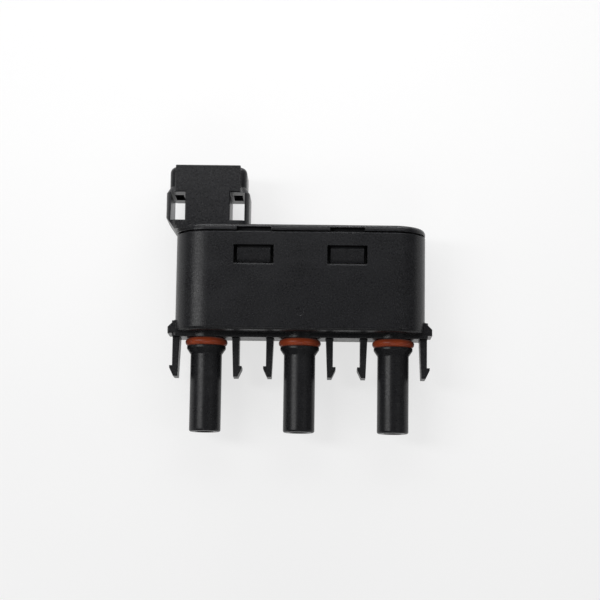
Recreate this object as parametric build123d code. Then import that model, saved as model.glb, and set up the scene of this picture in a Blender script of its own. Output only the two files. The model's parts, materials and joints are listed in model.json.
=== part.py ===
from build123d import *
import math
import os

# Three-way branch connector for solar cables: a flat box with three plug probes on its lower face
# and one socket port on its lid. Millimetres. While a piece is being made, Y = 0 is the mating face
# that the probes stand on, +Y points to the port, and Z = 0 is the plane of all four contact axes.
# The last step lays the finished pieces on their back, with the origin under the middle of the box.

# rounding of moulded edges
SOFT = 0.3
FINE = 0.15
LIP = 0.4
PORT_LIP = 0.25

# layout
PITCH = 23.5
PROBE_X = {"left": -PITCH, "middle": 0.0, "right": PITCH}
PORT_X = PROBE_X["left"]
CLEARANCE = 0.1
SEAT_GAP = 0.05

# housing box
BODY_WIDTH = 62.7
BODY_DEPTH = 20.0
CORNER_RADIUS = 8.3
WALL = 2.0
BODY_BOTTOM = 1.2
RAIL_LENGTH = 64.2
RAIL_DEPTH = 8.4
RAIL_RADIUS = 1.0
LOWER_EDGE_RADIUS = 0.8
BODY_TOP = 26.0
TOP_EDGE = 0.35
FLOOR_TOP = 4.0
INNER_WALL_TOP = 12.0
INNER_WALL_LENGTH = 58.2
INNER_WALL_DEPTH = 11.6
INNER_WALL_RADIUS = 4.0
INNER_WALL_THICKNESS = 1.2
RIB_THICKNESS = 1.2
RIB_X = PITCH / 2

# ears that back up the outermost latch arms
EAR_REACH = 33.1
EAR_ROOT = 30.0
EAR_DEPTH = 8.4
EAR_LOW = 0.8
EAR_SIDE_TOP = 2.4

# plug probes
PROBE_RADIUS = 3.95
PROBE_LENGTH = 23.5
PROBE_TIP_RADIUS = 0.5
COLLAR_RADIUS = 4.9
GROOVE_RADIUS = 3.3
GROOVE_START = 0.0
GROOVE_END = 2.1
COLLAR_END = 2.7
CONE_END = 4.1
LIP_RADIUS = 2.35
LIP_LENGTH = 1.0

# o-rings
RING_SECTION_RADIUS = 1.0
RING_Y = -(GROOVE_START + GROOVE_END) / 2

# latch arms
ARM_OUTER = 8.36
ARM_ROOT_THICKNESS = 1.8
ARM_TIP_THICKNESS = 1.4
ARM_LENGTH = 9.85
ARM_DEPTH = 6.0
BARB_REACH = 0.7
BARB_SHOULDER = 7.15
BARB_LAND = 0.6
ARM_TIP_RADIUS = 0.3
ROOT_CLEARANCE = 0.1

# round ejector mark on the front
MARK_RADIUS = 1.0
MARK_DEPTH = 0.1
MARK_Y = 5.8

# snap windows in the housing and the lid's tabs behind them
WINDOW_X = 11.65
WINDOW_WIDTH = 10.0
WINDOW_LOW = 17.9
WINDOW_HIGH = 22.5
TAB_WIDTH = 8.3
TAB_THICKNESS = 1.4
TAB_END = 18.3
BARB_TOP = 21.7
BARB_STAND = 1.5
BARB_LOW_STAND = 0.3

# lid
LID_BOTTOM = 26.2
LID_TOP = 27.8
LID_EDGE_RADIUS = 1.2
LID_SLOT_WIDTH = 8.65
LID_SLOT_HEIGHT = 0.8
LID_SLOT_DEPTH = 2.0
GASKET_HEIGHT = 1.0

# port shell on the lid
PORT_RIM = 43.0
SHELL_DEPTH = 15.5
SHELL_WIDTH = 19.4
SHELL_FLAT_WIDTH = 16.3
SHELL_FLANK_DEPTH = 13.0
SHELL_FLANK_RADIUS = 2.2
SHELL_TOP_RADIUS = 1.6
RING_WIDTH = 21.0
RING_CORNER_RADIUS = 3.2
SHOULDER_HEIGHT = 1.6
SHOULDER_ANGLE = 32.0
PORT_WINDOW_LOW = 29.0
PORT_WINDOW_HIGH = 36.1
COLUMN_HALF = 5.6
PORT_WINDOW_OUT = 9.25
SLOT_IN = 6.3
SLOT_OUT = 8.6
SLOT_DEPTH = 6.8
MOUTH_RADIUS = 5.2
MOUTH_BOTTOM = 36.6
MOUTH_CHAMFER = 0.5
BORE_RADIUS = 4.15
BORE_BOTTOM = 18.25
TUBE_RADIUS = 5.35
TUBE_END = 16.25
OVERHANG_FOOT = 29.9

# contacts and busbar
SOCKET_RADIUS = 2.9
SOCKET_BORE = 2.05
SOCKET_BORE_END = -6.0
SOCKET_SEAT_RADIUS = 2.95
SPRING_GROOVE_RADIUS = 2.5
SPRING_LOW = -20.9
SPRING_HIGH = -12.9
SPRING_RADIUS = 2.46
SPRING_SHEET = 0.12
SPRING_WAIST = 2.08
SPRING_BAND = 0.9
SPRING_SLOTS = 10
SPRING_SLOT_WIDTH = 0.45
FLANGE_RADIUS = 4.1
FLANGE_HEIGHT = 1.0
BUSBAR_THICKNESS = 1.2
BUSBAR_DEPTH = 8.0
BUSBAR_LENGTH = 54.6
RIVET_RADIUS = 1.6
RIVET_HEAD_RADIUS = 2.3
RIVET_HEAD_HEIGHT = 0.8
PIN_RADIUS = 2.0
PIN_TIP = 30.25
PIN_NOSE = 1.35
PIN_NOSE_RADIUS = 1.1
PIN_SHANK_RADIUS = 3.0
PIN_STEM_RADIUS = 2.6
PIN_FOOT_HEIGHT = 2.0
PIN_POCKET_RADIUS = 2.7
PIN_POCKET_HEIGHT = 1.1

# heights that follow from the ones above
BUSBAR_LOW = FLOOR_TOP + FLANGE_HEIGHT
BUSBAR_HIGH = BUSBAR_LOW + BUSBAR_THICKNESS
GASKET_TOP = INNER_WALL_TOP + GASKET_HEIGHT
HINGE_OFFSET = ARM_OUTER - ARM_ROOT_THICKNESS / 2

# the finished part lies on its back, centred on its own box
BOX_LEFT = PORT_X - RING_WIDTH / 2
PLACE = Pos(-(BOX_LEFT + EAR_REACH) / 2, (PROBE_LENGTH - PORT_RIM) / 2, BODY_DEPTH / 2)


def level(y, x=0.0):
    """Plane across the part at height y, centred on x, with its normal along +Y."""
    return Plane(origin=(x, y, 0), x_dir=(1, 0, 0), z_dir=(0, 1, 0))


def slab(width, depth, radius, low, high, x=0.0):
    """Block with rounded upright edges between two heights."""
    return extrude(level(low, x) * RectangleRounded(width, depth, radius), high - low)


def disc(radius, low, high, x=0.0):
    """Round column along Y between two heights."""
    return extrude(level(low, x) * Circle(radius), high - low)


def block(x_range, y_range, z_range):
    """Plain box given by its three ranges."""
    ends = (x_range, y_range, z_range)
    middle = [(low + high) / 2 for low, high in ends]
    return Pos(*middle) * Box(*[high - low for low, high in ends])


def turned(points, x):
    """Solid of revolution about the Y axis at x, from (radius, height) points."""
    outline = make_face(Polyline(*points, close=True))
    return Pos(x, 0, 0) * revolve(outline, Axis.Y)


def plate(points, depth, soft=0.0):
    """Outline in the XY plane, extruded evenly to both sides of Z = 0, with its rims softened."""
    solid = extrude(make_face(Polyline(*points, close=True)), depth / 2, both=True)
    if soft:
        rims = solid.edges().filter_by_position(Axis.Z, depth / 2, depth / 2)
        rims += solid.edges().filter_by_position(Axis.Z, -depth / 2, -depth / 2)
        solid = fillet(rims, soft)
    return solid


def pocket(x_range, y_range, face, depth):
    """Rectangular pocket cut in from the plane Z = face, with a bevelled lip at its mouth.

    The pocket runs towards Z = 0 for a positive depth, on whichever side the face is.
    """
    width, height = x_range[1] - x_range[0], y_range[1] - y_range[0]
    middle = ((x_range[0] + x_range[1]) / 2, (y_range[0] + y_range[1]) / 2, face)
    inward = (0, 0, -math.copysign(1, face))
    mouth = Plane(origin=middle, x_dir=(1, 0, 0), z_dir=inward)
    rim = mouth * Rectangle(width + 2 * PORT_LIP, height + 2 * PORT_LIP)
    lip = extrude(rim, PORT_LIP, taper=45)
    return lip + extrude(mouth * Rectangle(width, height), depth)


def edges_at(solid, height, tolerance=0.01):
    """Edges that lie flat at one height."""
    found = solid.edges().filter_by_position(Axis.Y, height - tolerance, height + tolerance)
    return [edge for edge in found if edge.bounding_box().size.Y < tolerance]


def ear(side):
    """Gusset at one end of the base, with a 45 degree upper slope."""
    slope_top = EAR_SIDE_TOP + EAR_REACH - BODY_WIDTH / 2
    points = [
        (side * EAR_ROOT, EAR_LOW),
        (side * EAR_REACH, EAR_LOW),
        (side * EAR_REACH, EAR_SIDE_TOP),
        (side * (BODY_WIDTH / 2), slope_top),
        (side * EAR_ROOT, slope_top),
    ]
    return plate(points, EAR_DEPTH, SOFT)


def probe(x):
    """One probe with its collar, o-ring groove and cone, still solid."""
    tip = -PROBE_LENGTH
    shape = turned(
        [
            (0, FLOOR_TOP / 2),
            (COLLAR_RADIUS, FLOOR_TOP / 2),
            (COLLAR_RADIUS, -GROOVE_START),
            (GROOVE_RADIUS, -GROOVE_START),
            (GROOVE_RADIUS, -GROOVE_END),
            (COLLAR_RADIUS, -GROOVE_END),
            (COLLAR_RADIUS, -COLLAR_END),
            (PROBE_RADIUS, -CONE_END),
            (PROBE_RADIUS, tip),
            (0, tip),
        ],
        x,
    )
    shape = fillet(edges_at(shape, tip), PROBE_TIP_RADIUS)
    return fillet(edges_at(shape, -COLLAR_END) + edges_at(shape, -CONE_END), SOFT)


def inner_wall(low, high, length):
    """Racetrack wall inside the box, shared in plan by the housing, the gasket and the lid."""
    outer = slab(length, INNER_WALL_DEPTH, INNER_WALL_RADIUS, low, high)
    inner_length = INNER_WALL_LENGTH - 2 * INNER_WALL_THICKNESS
    inner_depth = INNER_WALL_DEPTH - 2 * INNER_WALL_THICKNESS
    inner_radius = INNER_WALL_RADIUS - INNER_WALL_THICKNESS
    return outer - slab(inner_length, inner_depth, inner_radius, low, high)


def snap_window(face):
    """Window through one broad wall, with a bevel on its lower edge; face is -1 or 1."""
    outside, inside = BODY_DEPTH / 2, BODY_DEPTH / 2 - WALL
    points = [
        (WINDOW_LOW - LIP, outside),
        (WINDOW_LOW, outside - LIP),
        (WINDOW_LOW, inside - FINE),
        (WINDOW_HIGH, inside - FINE),
        (WINDOW_HIGH, outside + LIP),
        (WINDOW_LOW - LIP, outside + LIP),
    ]
    section = make_face(Polyline(*[(0, y, face * z) for y, z in points], close=True))
    return extrude(section, WINDOW_WIDTH / 2, both=True, dir=(1, 0, 0))


def housing():
    """Box, base rail, ears and probes in one moulding."""
    box = slab(BODY_WIDTH, BODY_DEPTH, CORNER_RADIUS, BODY_BOTTOM, BODY_TOP)
    box = fillet(edges_at(box, BODY_BOTTOM), LOWER_EDGE_RADIUS)
    box = chamfer(edges_at(box, BODY_TOP), TOP_EDGE)
    rail = slab(RAIL_LENGTH, RAIL_DEPTH, RAIL_RADIUS, 0, FLOOR_TOP)
    box += fillet(edges_at(rail, 0), SOFT)
    box += ear(-1) + ear(1)
    hollow_width = BODY_WIDTH - 2 * WALL
    box -= slab(hollow_width, BODY_DEPTH - 2 * WALL, CORNER_RADIUS - WALL, FLOOR_TOP, BODY_TOP)
    box += inner_wall(FLOOR_TOP - 1, INNER_WALL_TOP, hollow_width + WALL / 2)
    inner_half = INNER_WALL_DEPTH / 2 - INNER_WALL_THICKNESS / 2
    for side in (-1, 1):
        rib_x = (side * RIB_X - RIB_THICKNESS / 2, side * RIB_X + RIB_THICKNESS / 2)
        box += block(rib_x, (FLOOR_TOP - 1, BUSBAR_LOW), (-inner_half, inner_half))
        for face in (-1, 1):
            box -= Pos(side * WINDOW_X, 0, 0) * snap_window(face)
    box -= Pos(0, MARK_Y, BODY_DEPTH / 2) * Cylinder(MARK_RADIUS, 2 * MARK_DEPTH)
    groove_radius = ARM_ROOT_THICKNESS / 2 + ROOT_CLEARANCE
    for x in PROBE_X.values():
        box += probe(x)
        box -= disc(SOCKET_SEAT_RADIUS, LIP_LENGTH - PROBE_LENGTH, FLOOR_TOP, x)
        box -= disc(LIP_RADIUS, -PROBE_LENGTH, LIP_LENGTH - PROBE_LENGTH, x)
        for side in (-1, 1):
            root = Cylinder(groove_radius, ARM_DEPTH + 2 * ROOT_CLEARANCE)
            box -= Pos(x + side * HINGE_OFFSET, 0, 0) * root
    return box


def o_ring(x):
    """Silicone ring seated on the floor of a probe's groove."""
    middle = GROOVE_RADIUS + RING_SECTION_RADIUS
    section = Pos(middle, RING_Y) * Circle(RING_SECTION_RADIUS)
    return Pos(x, 0, 0) * revolve(section, Axis.Y)


def latch_arm(x, side):
    """Cantilever arm with a round root on its bending line and an outward barb at its end."""
    outer = ARM_ROOT_THICKNESS / 2
    tip_inner = outer - ARM_TIP_THICKNESS
    barb = outer + BARB_REACH
    points = [
        (-outer, 0),
        (outer, 0),
        (outer, -BARB_SHOULDER),
        (barb, -BARB_SHOULDER),
        (barb, -BARB_SHOULDER - BARB_LAND),
        (outer - ARM_TIP_RADIUS, -ARM_LENGTH),
        (tip_inner, -ARM_LENGTH),
    ]
    arm = plate([(side * px, py) for px, py in points], ARM_DEPTH, FINE)
    arm += Cylinder(outer, ARM_DEPTH - 2 * FINE)
    return Pos(x + side * HINGE_OFFSET, 0, 0) * arm


def socket_contact(x):
    """Turned socket: barrel in the probe, flange on the floor, tail riveted over the busbar."""
    low = LIP_LENGTH - PROBE_LENGTH + CLEARANCE
    head_top = BUSBAR_HIGH + RIVET_HEAD_HEIGHT
    outside = turned(
        [
            (0, low),
            (SOCKET_RADIUS, low),
            (SOCKET_RADIUS, FLOOR_TOP),
            (FLANGE_RADIUS, FLOOR_TOP),
            (FLANGE_RADIUS, BUSBAR_LOW),
            (RIVET_RADIUS, BUSBAR_LOW),
            (RIVET_RADIUS, BUSBAR_HIGH),
            (RIVET_HEAD_RADIUS, BUSBAR_HIGH),
            (RIVET_RADIUS, head_top),
            (0, head_top),
        ],
        x,
    )
    bore = disc(SOCKET_BORE, low, SOCKET_BORE_END, x)
    groove = disc(SPRING_GROOVE_RADIUS, SPRING_LOW, SPRING_HIGH, x)
    return outside - bore - groove


def contact_spring(x):
    """Louvred sleeve in the socket's groove, waisted inwards to grip a contact pin."""
    low = SPRING_LOW + CLEARANCE
    high = SPRING_HIGH - CLEARANCE
    middle = (low + high) / 2
    outer_bow = ThreePointArc(
        (SPRING_RADIUS, low + SPRING_BAND),
        (SPRING_WAIST + SPRING_SHEET, middle),
        (SPRING_RADIUS, high - SPRING_BAND),
    )
    inner_bow = ThreePointArc(
        (SPRING_RADIUS - SPRING_SHEET, high - SPRING_BAND),
        (SPRING_WAIST, middle),
        (SPRING_RADIUS - SPRING_SHEET, low + SPRING_BAND),
    )
    top = Polyline(
        outer_bow @ 1, (SPRING_RADIUS, high), (SPRING_RADIUS - SPRING_SHEET, high), inner_bow @ 0
    )
    bottom = Polyline(
        inner_bow @ 1, (SPRING_RADIUS - SPRING_SHEET, low), (SPRING_RADIUS, low), outer_bow @ 0
    )
    sleeve = revolve(make_face(outer_bow + top + inner_bow + bottom), Axis.Y)
    slot_length = high - low - 2 * SPRING_BAND
    slot = Pos(SPRING_RADIUS, middle, 0) * Box(SPRING_RADIUS, slot_length, SPRING_SLOT_WIDTH)
    for step in range(SPRING_SLOTS):
        sleeve -= Rot(0, step * 360 / SPRING_SLOTS, 0) * slot
    return Pos(x, 0, 0) * sleeve


def busbar():
    """Flat strip that joins all contacts, with a hole for each riveted tail."""
    strip = slab(BUSBAR_LENGTH, BUSBAR_DEPTH, BUSBAR_DEPTH / 2 - CLEARANCE, BUSBAR_LOW, BUSBAR_HIGH)
    for x in PROBE_X.values():
        strip -= disc(RIVET_RADIUS, BUSBAR_LOW, BUSBAR_HIGH, x)
    return strip


def pin_contact():
    """Turned pin of the port: foot on the busbar, flange under the port's floor, free pin above."""
    foot_top = BUSBAR_HIGH + PIN_FOOT_HEIGHT
    flange_low = TUBE_END - FLANGE_HEIGHT
    pin = turned(
        [
            (0, BUSBAR_HIGH),
            (FLANGE_RADIUS, BUSBAR_HIGH),
            (FLANGE_RADIUS, foot_top),
            (PIN_STEM_RADIUS, foot_top),
            (PIN_STEM_RADIUS, flange_low),
            (FLANGE_RADIUS, flange_low),
            (FLANGE_RADIUS, TUBE_END),
            (PIN_SHANK_RADIUS, TUBE_END),
            (PIN_SHANK_RADIUS, BORE_BOTTOM),
            (PIN_RADIUS, BORE_BOTTOM),
            (PIN_RADIUS, PIN_TIP - PIN_NOSE),
            (PIN_NOSE_RADIUS, PIN_TIP),
            (0, PIN_TIP),
        ],
        PORT_X,
    )
    return pin - disc(PIN_POCKET_RADIUS, BUSBAR_HIGH, BUSBAR_HIGH + PIN_POCKET_HEIGHT, PORT_X)


def lid_gasket():
    """Flat racetrack seal between the housing's inner wall and the lid's skirt."""
    return inner_wall(INNER_WALL_TOP, GASKET_TOP, INNER_WALL_LENGTH)


def snap_tab(x, side):
    """Lid tab behind a wall window, with a barb that slopes back towards its end."""
    face = BODY_DEPTH / 2 - WALL - CLEARANCE
    points = [
        (LID_BOTTOM + CLEARANCE, face),
        (BARB_TOP, face),
        (BARB_TOP, face + BARB_STAND),
        (TAB_END, face + BARB_LOW_STAND),
        (TAB_END, face - TAB_THICKNESS),
        (LID_BOTTOM + CLEARANCE, face - TAB_THICKNESS),
    ]
    section = make_face(Polyline(*[(0, y, side * z) for y, z in points], close=True))
    return Pos(x, 0, 0) * extrude(section, TAB_WIDTH / 2, both=True, dir=(1, 0, 0))


def undercut():
    """Wedge that trims the port's foot to a slope where it stands out past the end of the lid."""
    ring_edge = PORT_X - RING_WIDTH / 2
    lid_edge = -BODY_WIDTH / 2
    points = [
        (ring_edge - LIP, LID_BOTTOM),
        (ring_edge - LIP, OVERHANG_FOOT),
        (ring_edge, OVERHANG_FOOT),
        (lid_edge, LID_BOTTOM),
    ]
    return plate(points, SHELL_DEPTH + LIP)


def port_shell():
    """Outside of the port: wide ring with hook windows below, narrower head with a flat front above."""
    ring = slab(RING_WIDTH, SHELL_DEPTH, RING_CORNER_RADIUS, LID_TOP - 1, PORT_WINDOW_HIGH, PORT_X)
    outline = RectangleRounded(RING_WIDTH, SHELL_DEPTH, RING_CORNER_RADIUS)
    shoulder = extrude(level(PORT_WINDOW_HIGH, PORT_X) * outline, SHOULDER_HEIGHT, taper=SHOULDER_ANGLE)
    ring += shoulder
    head = slab(SHELL_WIDTH, SHELL_FLANK_DEPTH, SHELL_FLANK_RADIUS, LID_TOP, PORT_RIM, PORT_X)
    head = fillet(edges_at(head, PORT_RIM), SHELL_TOP_RADIUS)
    front = slab(SHELL_FLAT_WIDTH, SHELL_DEPTH, FINE, LID_TOP, PORT_RIM, PORT_X)
    front = chamfer(edges_at(front, PORT_RIM), FINE)
    shell = ring + head + front - undercut()
    window_y = (PORT_WINDOW_LOW, PORT_WINDOW_HIGH)
    for side in (-1, 1):
        near, far = PORT_X + side * COLUMN_HALF, PORT_X + side * PORT_WINDOW_OUT
        window_x = (min(near, far), max(near, far))
        for face in (SHELL_DEPTH / 2, -SHELL_DEPTH / 2):
            shell -= pocket(window_x, window_y, face, SHELL_DEPTH)
        near, far = PORT_X + side * SLOT_IN, PORT_X + side * SLOT_OUT
        slot_x = (min(near, far), max(near, far))
        shell -= block(slot_x, (PORT_WINDOW_HIGH, PORT_RIM), (-SLOT_DEPTH / 2, SLOT_DEPTH / 2))
    return shell


def lid():
    """Cover plate with sealing skirt, snap tabs and the port."""
    cover = slab(BODY_WIDTH, BODY_DEPTH, CORNER_RADIUS, LID_BOTTOM, LID_TOP)
    cover = fillet(edges_at(cover, LID_TOP), LID_EDGE_RADIUS)
    cover += inner_wall(GASKET_TOP, LID_BOTTOM + 1, INNER_WALL_LENGTH)
    slot_floor = BODY_DEPTH / 2 - LID_SLOT_DEPTH
    for side in (-1, 1):
        slot_x = (side * WINDOW_X - LID_SLOT_WIDTH / 2, side * WINDOW_X + LID_SLOT_WIDTH / 2)
        slot_y = (LID_BOTTOM, LID_BOTTOM + LID_SLOT_HEIGHT)
        cover -= block(slot_x, slot_y, (slot_floor, BODY_DEPTH))
        cover -= block(slot_x, slot_y, (-BODY_DEPTH, -slot_floor))
        cover += snap_tab(side * WINDOW_X, 1) + snap_tab(side * WINDOW_X, -1)
    cover += disc(TUBE_RADIUS, TUBE_END, LID_TOP, PORT_X) + port_shell()
    cover -= disc(BORE_RADIUS, BORE_BOTTOM, PORT_RIM, PORT_X)
    cover -= disc(PIN_SHANK_RADIUS + SEAT_GAP, TUBE_END, BORE_BOTTOM, PORT_X)
    mouth_lead = MOUTH_RADIUS + MOUTH_CHAMFER
    cover -= turned(
        [
            (0, MOUTH_BOTTOM),
            (MOUTH_RADIUS, MOUTH_BOTTOM),
            (MOUTH_RADIUS, PORT_RIM - MOUTH_CHAMFER),
            (mouth_lead, PORT_RIM),
            (0, PORT_RIM),
        ],
        PORT_X,
    )
    return cover


def pieces():
    """Every node of the connector, by name."""
    made = {"housing": housing(), "lid": lid(), "lid_gasket": lid_gasket()}
    made["busbar"] = busbar()
    made["pin_contact"] = pin_contact()
    for place, x in PROBE_X.items():
        made[f"o_ring_{place}"] = o_ring(x)
        made[f"socket_contact_{place}"] = socket_contact(x)
        made[f"contact_spring_{place}"] = contact_spring(x)
        made[f"latch_arm_{place}_a"] = latch_arm(x, -1)
        made[f"latch_arm_{place}_b"] = latch_arm(x, 1)
    return made


os.makedirs("parts", exist_ok=True)
for name, piece in pieces().items():
    export_step(PLACE * piece, f"parts/{name}.step")
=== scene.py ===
import json
import math

import bmesh
import bpy
from mathutils import Matrix, Vector


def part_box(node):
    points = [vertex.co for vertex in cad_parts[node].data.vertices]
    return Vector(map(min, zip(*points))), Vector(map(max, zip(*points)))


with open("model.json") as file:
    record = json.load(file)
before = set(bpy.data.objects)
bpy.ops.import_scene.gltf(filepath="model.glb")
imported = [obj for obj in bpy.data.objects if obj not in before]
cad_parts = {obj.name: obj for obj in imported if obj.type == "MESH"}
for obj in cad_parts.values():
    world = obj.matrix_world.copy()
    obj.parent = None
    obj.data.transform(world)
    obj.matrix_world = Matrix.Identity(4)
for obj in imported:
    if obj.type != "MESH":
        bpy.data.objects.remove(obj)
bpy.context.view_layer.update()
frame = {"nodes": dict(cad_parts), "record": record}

# Three-way branch connector for solar cables, lying on its back. Metres throughout.
MM = 0.001

# camera
AIM = Vector((0.358, 0.33, 10.0)) * MM
CAMERA_DISTANCE = 0.45
CAMERA_TILT = math.radians(8.229)
CAMERA_YAW = math.radians(0.735)
CAMERA_ROLL = math.radians(0.786)
LENS = 106.8
SENSOR = 36.0

# studio: name, place, size, watts
LIGHTS = (
    ("key_left", (-0.36, 0.05, 0.47), (0.10, 0.35), 1.1),
    ("hood", (0.0, 0.085, 0.12), (0.22, 0.06), 0.10),
    ("strip_behind", (0.0, 0.30, 0.065), (0.40, 0.06), 0.8),
    ("fill_right", (0.40, -0.10, 0.45), (0.12, 0.30), 0.2),
    ("fill_low", (0.0, -0.34, 0.38), (0.30, 0.12), 0.25),
)
WORLD_LIGHT = 0.11
FLOOR_GLOW = 0.70
FLOOR_SIZE = 3.0
FLOOR_SEGMENTS = 96
FLOOR_ROUGHNESS = 0.9
FLOOR_MOTTLE_SCALE = 9
FLOOR_PALE = (0.26, 0.26, 0.26, 1)
WHITE = (1, 1, 1, 1)

# colours, linear
BLACK = (0.0128, 0.0130, 0.0144, 1)
BLACK_WORN = (0.052, 0.052, 0.056, 1)
SILICONE = (0.40, 0.060, 0.011, 1)
SILICONE_DARK = (0.27, 0.037, 0.008, 1)
SILICONE_DUST = (0.36, 0.12, 0.08, 1)
TIN = (0.70, 0.69, 0.66, 1)
TIN_DULL = (0.42, 0.41, 0.39, 1)
BRASS = (0.74, 0.55, 0.27, 1)
BRASS_DULL = (0.40, 0.26, 0.12, 1)

# black plastic: noise scales are per metre
FINE_SCALE = 3800
COARSE_SCALE = 1900
CLOUD_SCALE = 95
FLOW_SCALE = 210
FLOW_STRETCH = (0.35, 1.0, 1.0)
FINE_SHARE = 0.6
BODY_GRAIN = 0.024 * MM
BODY_ROUGHNESS = 0.31
LATCH_GRAIN = 0.02 * MM
LATCH_ROUGHNESS = 0.38
EDGE_ROUNDING = 0.12 * MM
WEAR_WIDTH = 0.22 * MM
WEAR_SHARP = 0.86
WEAR_TINT = 0.5
WEAR_POLISH = 0.1
PROBE_GRAIN_SHARE = 0.3
PROBE_FADE_LOW = 0.6 * MM
PROBE_FADE_HIGH = 0.2 * MM
PLASTIC_IOR = 1.49
PLASTIC_SPECULAR = 0.2

# silicone
SILICONE_CLOUD_SCALE = 260
SILICONE_DUST_SCALE = 4200
SILICONE_GLOSS_SCALE = 900
SILICONE_BUMP = 0.012 * MM
SILICONE_IOR = 1.43
SILICONE_DEPTH = (1.2 * MM, 0.4 * MM, 0.2 * MM)

# plated metal
PATCH_SCALE = 330
METAL_EDGE = 0.08 * MM
METAL_EDGE_SHARP = 0.9
METAL_BUMP = 0.006 * MM
TURNED_SCALE = 5200
ROLLED_SCALE = 4200


class Nodes:
    """Small helper that builds one node material."""

    def __init__(self, name):
        self.material = bpy.data.materials.new(name)
        self.material.use_nodes = True
        self.tree = self.material.node_tree
        self.shader = self.tree.nodes["Principled BSDF"]
        self.place = self.new("ShaderNodeTexCoord").outputs["Object"]

    def new(self, kind, **settings):
        node = self.tree.nodes.new(kind)
        for key, value in settings.items():
            setattr(node, key, value)
        return node

    def link(self, output, socket):
        self.tree.links.new(output, socket)

    def noise(self, scale, detail=3.0, rough=0.55, stretch=None):
        """Noise in object space; stretch scales the axes to draw it out."""
        node = self.new("ShaderNodeTexNoise")
        node.inputs["Scale"].default_value = scale
        node.inputs["Detail"].default_value = detail
        node.inputs["Roughness"].default_value = rough
        source = self.place
        if stretch:
            mapping = self.new("ShaderNodeMapping")
            mapping.inputs["Scale"].default_value = stretch
            self.link(self.place, mapping.inputs["Vector"])
            source = mapping.outputs["Vector"]
        self.link(source, node.inputs["Vector"])
        return node.outputs["Fac"]

    def span(self, source, low, high, to_low=0.0, to_high=1.0):
        """Maps low..high onto to_low..to_high, held at the ends."""
        node = self.new("ShaderNodeMapRange")
        sockets = ("From Min", "From Max", "To Min", "To Max")
        for socket, value in zip(sockets, (low, high, to_low, to_high)):
            node.inputs[socket].default_value = value
        self.link(source, node.inputs["Value"])
        return node.outputs["Result"]

    def combine(self, operation, first, second):
        """Arithmetic on two values, each an output or a number."""
        node = self.new("ShaderNodeMath", operation=operation)
        for socket, value in zip(node.inputs, (first, second)):
            if isinstance(value, (int, float)):
                socket.default_value = value
            else:
                self.link(value, socket)
        return node.outputs[0]

    def blend(self, factor, first, second):
        """Colour mix; each colour is an output or a tuple."""
        node = self.new("ShaderNodeMix", data_type="RGBA")
        self.link(factor, node.inputs["Factor"])
        for socket, value in ((node.inputs[6], first), (node.inputs[7], second)):
            if isinstance(value, tuple):
                socket.default_value = value
            else:
                self.link(value, socket)
        return node.outputs[2]

    def rounded(self, radius):
        """Shading normal with every edge rounded by radius."""
        node = self.new("ShaderNodeBevel", samples=6)
        node.inputs["Radius"].default_value = radius
        return node.outputs["Normal"]

    def edges(self, radius, sharp):
        """1 along the piece's edges, 0 on its faces."""
        dot = self.new("ShaderNodeVectorMath", operation="DOT_PRODUCT")
        self.link(self.rounded(radius), dot.inputs[0])
        self.link(self.new("ShaderNodeNewGeometry").outputs["Normal"], dot.inputs[1])
        return self.span(dot.outputs["Value"], 1.0, sharp)

    def bump(self, height, distance, normal=None):
        """Shading normal raised by height, on top of another normal if one is given."""
        node = self.new("ShaderNodeBump")
        node.inputs["Distance"].default_value = distance
        node.inputs["Strength"].default_value = 1.0
        self.link(height, node.inputs["Height"])
        if normal:
            self.link(normal, node.inputs["Normal"])
        return node.outputs["Normal"]

    def axis(self, letter):
        """One coordinate of the shaded point."""
        node = self.new("ShaderNodeSeparateXYZ")
        self.link(self.place, node.inputs[0])
        return node.outputs[letter]

    def feed(self, socket, source):
        self.link(source, self.shader.inputs[socket])

    def fix(self, **values):
        """Constants on the shader's own sockets."""
        for key, value in values.items():
            self.shader.inputs[key.replace("_", " ")].default_value = value


def shade(colour, factor):
    """The colour made lighter or darker by a factor."""
    return tuple(value * factor for value in colour[:3]) + (1,)


def plastic_colour(m, fine, coarse, cloud, edge):
    """Black, mottled where it flowed, greyer on grain tips and worn edges."""
    flow = m.noise(FLOW_SCALE, 4.0, 0.6, FLOW_STRETCH)
    tone = m.blend(m.span(cloud, 0.3, 0.7), shade(BLACK, 0.9), shade(BLACK, 1.1))
    tone = m.blend(m.span(flow, 0.52, 0.75, 0.0, 0.12), tone, BLACK_WORN)
    tone = m.blend(m.span(coarse, 0.28, 0.5, 0.18, 0.0), tone, shade(BLACK, 0.35))
    tone = m.blend(m.span(fine, 0.52, 0.72, 0.0, 0.5), tone, BLACK_WORN)
    return m.blend(m.combine("MULTIPLY", edge, WEAR_TINT), tone, BLACK_WORN)


def plastic_roughness(m, coarse, cloud, edge, rough):
    """Roughness that varies with the grain and drops on worn edges."""
    grainy = m.span(coarse, 0.3, 0.7, rough - 0.05, rough + 0.05)
    dull = m.combine("ADD", grainy, m.span(cloud, 0.3, 0.7, -0.03, 0.03))
    return m.combine("SUBTRACT", dull, m.combine("MULTIPLY", edge, WEAR_POLISH))


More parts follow.
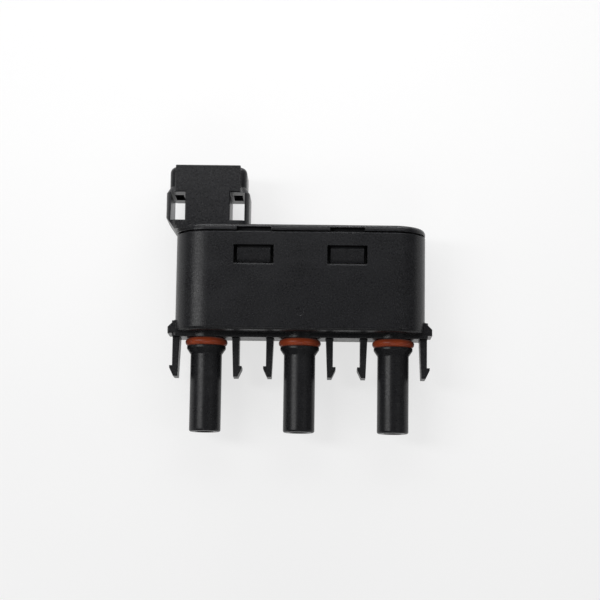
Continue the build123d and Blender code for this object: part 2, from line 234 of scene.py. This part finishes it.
def moulded(name, grain, rough, smooth_below=None):
    """Black moulded plastic: spark-eroded grain, flow mottling, burnished edges.

    Where Y is less than smooth_below the grain is shallower, as on a turned mould insert.
    """
    m = Nodes(name)
    fine = m.noise(FINE_SCALE, 2.0, 0.5)
    coarse = m.noise(COARSE_SCALE, 2.0, 0.5)
    cloud = m.noise(CLOUD_SCALE, 3.0, 0.5)
    relief = m.combine("ADD", m.combine("MULTIPLY", fine, FINE_SHARE), coarse)
    if smooth_below is not None:
        fade = (smooth_below - PROBE_FADE_LOW, smooth_below + PROBE_FADE_HIGH)
        amount = m.span(m.axis("Y"), *fade, PROBE_GRAIN_SHARE, 1.0)
        relief = m.combine("MULTIPLY", relief, amount)
    patchy = m.span(coarse, 0.35, 0.62)
    edge = m.combine("MULTIPLY", m.edges(WEAR_WIDTH, WEAR_SHARP), patchy)
    m.feed("Base Color", plastic_colour(m, fine, coarse, cloud, edge))
    m.feed("Roughness", plastic_roughness(m, coarse, cloud, edge, rough))
    m.feed("Normal", m.bump(relief, grain, m.rounded(EDGE_ROUNDING)))
    m.fix(IOR=PLASTIC_IOR, Specular_IOR_Level=PLASTIC_SPECULAR)
    return m.material


def silicone(name):
    """Red-brown silicone: soft sheen, fine dust, faint flow marks."""
    m = Nodes(name)
    cloud = m.noise(SILICONE_CLOUD_SCALE, 3.0, 0.55)
    fine = m.noise(SILICONE_DUST_SCALE, 3.0, 0.6)
    tone = m.blend(m.span(cloud, 0.32, 0.68), SILICONE_DARK, SILICONE)
    m.feed("Base Color", m.blend(m.span(fine, 0.62, 0.78, 0.0, 0.4), tone, SILICONE_DUST))
    m.feed("Roughness", m.span(m.noise(SILICONE_GLOSS_SCALE), 0.3, 0.7, 0.28, 0.42))
    m.feed("Normal", m.bump(fine, SILICONE_BUMP))
    m.fix(IOR=SILICONE_IOR, Sheen_Weight=0.15, Sheen_Roughness=0.5)
    m.fix(Subsurface_Weight=0.12, Subsurface_Radius=SILICONE_DEPTH, Subsurface_Scale=1.0)
    return m.material


def plated(name, bright, dull, rough, stretch, scale):
    """Plated metal with turning or rolling lines and duller patches."""
    m = Nodes(name)
    lines = m.noise(scale, 4.0, 0.65, stretch)
    cloud = m.noise(PATCH_SCALE, 4.0, 0.6)
    edge = m.edges(METAL_EDGE, METAL_EDGE_SHARP)
    tone = m.blend(m.span(cloud, 0.35, 0.7, 0.0, 0.75), bright, dull)
    patches = m.span(cloud, 0.3, 0.7, rough - 0.06, rough + 0.1)
    m.feed("Base Color", m.blend(m.combine("MULTIPLY", edge, 0.6), tone, bright))
    m.feed("Roughness", m.combine("ADD", patches, m.span(lines, 0.3, 0.7, 0.0, 0.08)))
    m.feed("Normal", m.bump(lines, METAL_BUMP))
    m.fix(Metallic=1.0, Anisotropic=0.35)
    return m.material


def paint():
    """A finished material on every CAD node, by its material slot."""
    probe_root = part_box("o_ring_middle")[0][1]
    looks = {
        "housing": moulded("black_housing", BODY_GRAIN, BODY_ROUGHNESS, probe_root),
        "lid": moulded("black_lid", BODY_GRAIN, BODY_ROUGHNESS),
        "latch": moulded("black_latch", LATCH_GRAIN, LATCH_ROUGHNESS),
        "o_ring": silicone("silicone_ring"),
        "gasket": silicone("silicone_gasket"),
        "contact": plated("tin_turned", TIN, TIN_DULL, 0.3, (0.12, 1.0, 0.12), TURNED_SCALE),
        "busbar": plated("tin_rolled", TIN, TIN_DULL, 0.34, (0.06, 1.0, 1.0), ROLLED_SCALE),
        "spring": plated("brass_spring", BRASS, BRASS_DULL, 0.26, (1.0, 0.12, 1.0), TURNED_SCALE),
    }
    for subpart in frame["record"]["subparts"]:
        node = frame["nodes"][subpart["node"]]
        for holder in node.material_slots:
            holder.material = looks[subpart["material_slot"]]


def mesh_object(name, mesh, material):
    """Links a bmesh as an object with one material."""
    data = bpy.data.meshes.new(name)
    mesh.to_mesh(data)
    mesh.free()
    data.materials.append(material)
    piece = bpy.data.objects.new(name, data)
    bpy.context.scene.collection.objects.link(piece)
    return piece


def floor():
    """Large round pale sheet under the part, faintly mottled, with a glow of its own."""
    m = Nodes("floor")
    mottle = m.span(m.noise(FLOOR_MOTTLE_SCALE, 2.0), 0.3, 0.7)
    m.feed("Base Color", m.blend(mottle, FLOOR_PALE, shade(FLOOR_PALE, 1.06)))
    m.fix(Roughness=FLOOR_ROUGHNESS, Emission_Color=WHITE, Emission_Strength=FLOOR_GLOW)
    mesh = bmesh.new()
    bmesh.ops.create_circle(mesh, cap_ends=True, radius=FLOOR_SIZE, segments=FLOOR_SEGMENTS)
    mesh_object("floor", mesh, m.material)


def area_light(name, place, size, power):
    """Rectangular soft light at place that faces the part."""
    lamp = bpy.data.lights.new(name, "AREA")
    lamp.shape = "RECTANGLE"
    lamp.size, lamp.size_y = size
    lamp.energy = power
    holder = bpy.data.objects.new(name, lamp)
    holder.location = place
    holder.rotation_euler = (AIM - Vector(place)).to_track_quat("-Z", "Y").to_euler()
    holder.visible_camera = False
    bpy.context.scene.collection.objects.link(holder)


def studio():
    """Dim even surroundings and the soft lights."""
    world = bpy.data.worlds.new("studio")
    bpy.context.scene.world = world
    world.use_nodes = True
    background = world.node_tree.nodes["Background"]
    background.inputs["Color"].default_value = WHITE
    background.inputs["Strength"].default_value = WORLD_LIGHT
    for light in LIGHTS:
        area_light(*light)


def camera():
    """Long lens almost straight above, tilted towards the probes."""
    lens = bpy.data.cameras.new("camera")
    lens.lens = LENS
    lens.sensor_width = SENSOR
    lens.clip_start = MM
    turn = Matrix.Rotation(CAMERA_YAW, 4, "Y") @ Matrix.Rotation(CAMERA_TILT, 4, "X")
    turn = turn @ Matrix.Rotation(CAMERA_ROLL, 4, "Z")
    back = turn.to_3x3() @ Vector((0, 0, 1))
    holder = bpy.data.objects.new("camera", lens)
    holder.matrix_world = Matrix.Translation(AIM + back * CAMERA_DISTANCE) @ turn
    bpy.context.scene.collection.objects.link(holder)
    bpy.context.scene.camera = holder


paint()
floor()
studio()
camera()
bpy.context.scene.view_settings.view_transform = "Standard"
